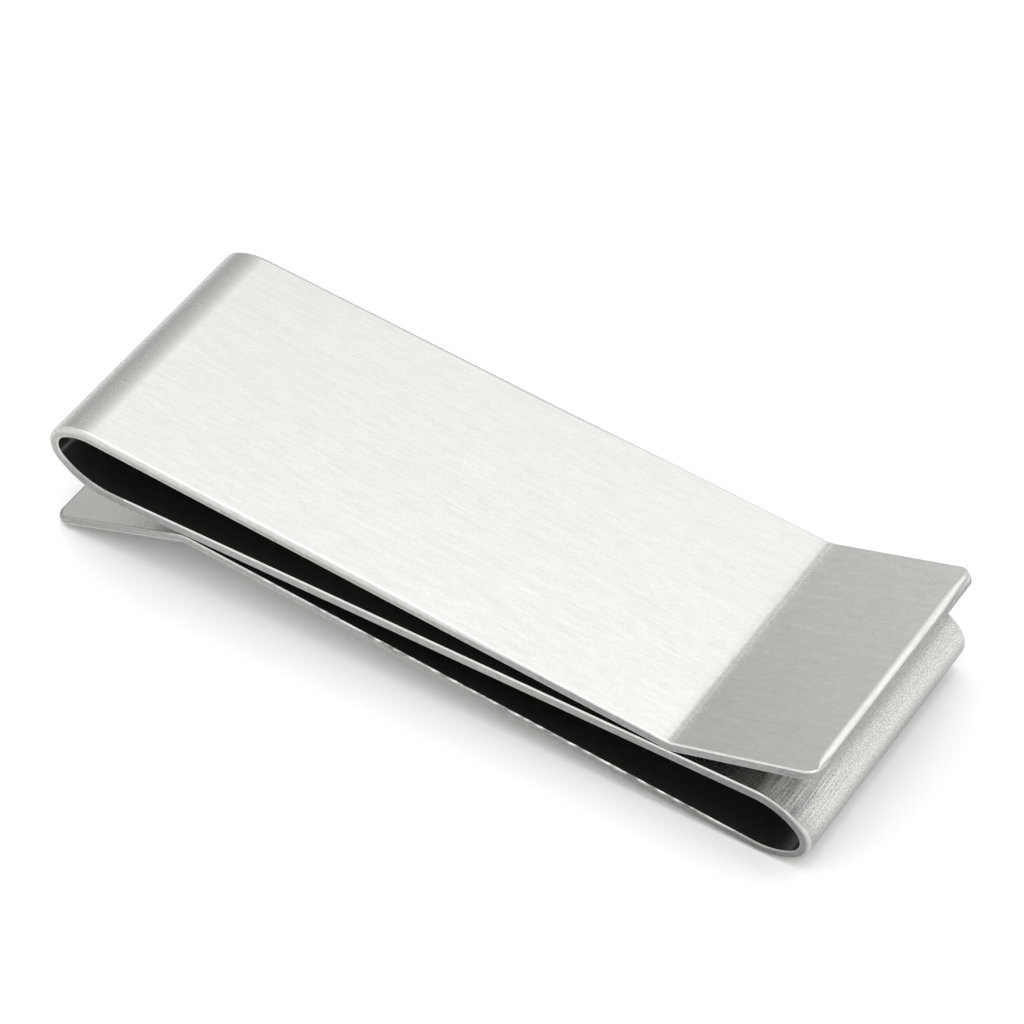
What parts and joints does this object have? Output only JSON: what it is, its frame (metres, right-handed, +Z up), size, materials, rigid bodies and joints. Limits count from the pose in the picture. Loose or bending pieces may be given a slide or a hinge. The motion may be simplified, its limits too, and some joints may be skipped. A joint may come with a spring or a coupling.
{
  "type": "money clip",
  "caption": "Flat strip of sprung steel folded into a long S, with a pressing leaf and a flared lip on each face, for holding folded banknotes and cards.",
  "frame": {"origin": "bottom centre of the clip's box, where it lies on a table", "axes": "+X along the clip, towards the tip of the upper lip; +Y across the strip; +Z up, square to the centre leaf"},
  "size_m": [0.057, 0.02, 0.0098],
  "materials": {
    "steel_strip": "satin-brushed stainless steel, grain along the strip"
  },
  "bodies": {
    "centre": {"centre_leaf": "steel_strip", "left_bend_lower": "steel_strip", "right_bend_upper": "steel_strip"},
    "upper_arm": {"left_bend_upper": "steel_strip", "upper_leaf": "steel_strip", "upper_lip": "steel_strip"},
    "lower_arm": {"right_bend_lower": "steel_strip", "lower_leaf": "steel_strip", "lower_lip": "steel_strip"}
  },
  "joints": [
    {"name": "lower_arm_open", "type": "hinge", "parent": "lower_arm", "child": "centre", "pos_m": [0.02822, 0, 0.00242], "axis": [0, 1, 0], "range_deg": [0, 6], "stiffness_Nm_per_rad": 3.5, "springref_deg": -1.72},
    {"name": "upper_arm_open", "type": "hinge", "parent": "centre", "child": "upper_arm", "pos_m": [-0.02817, 0, 0.00764], "axis": [0, -1, 0], "range_deg": [0, 6], "stiffness_Nm_per_rad": 3.5, "springref_deg": -1.72}
  ]
}
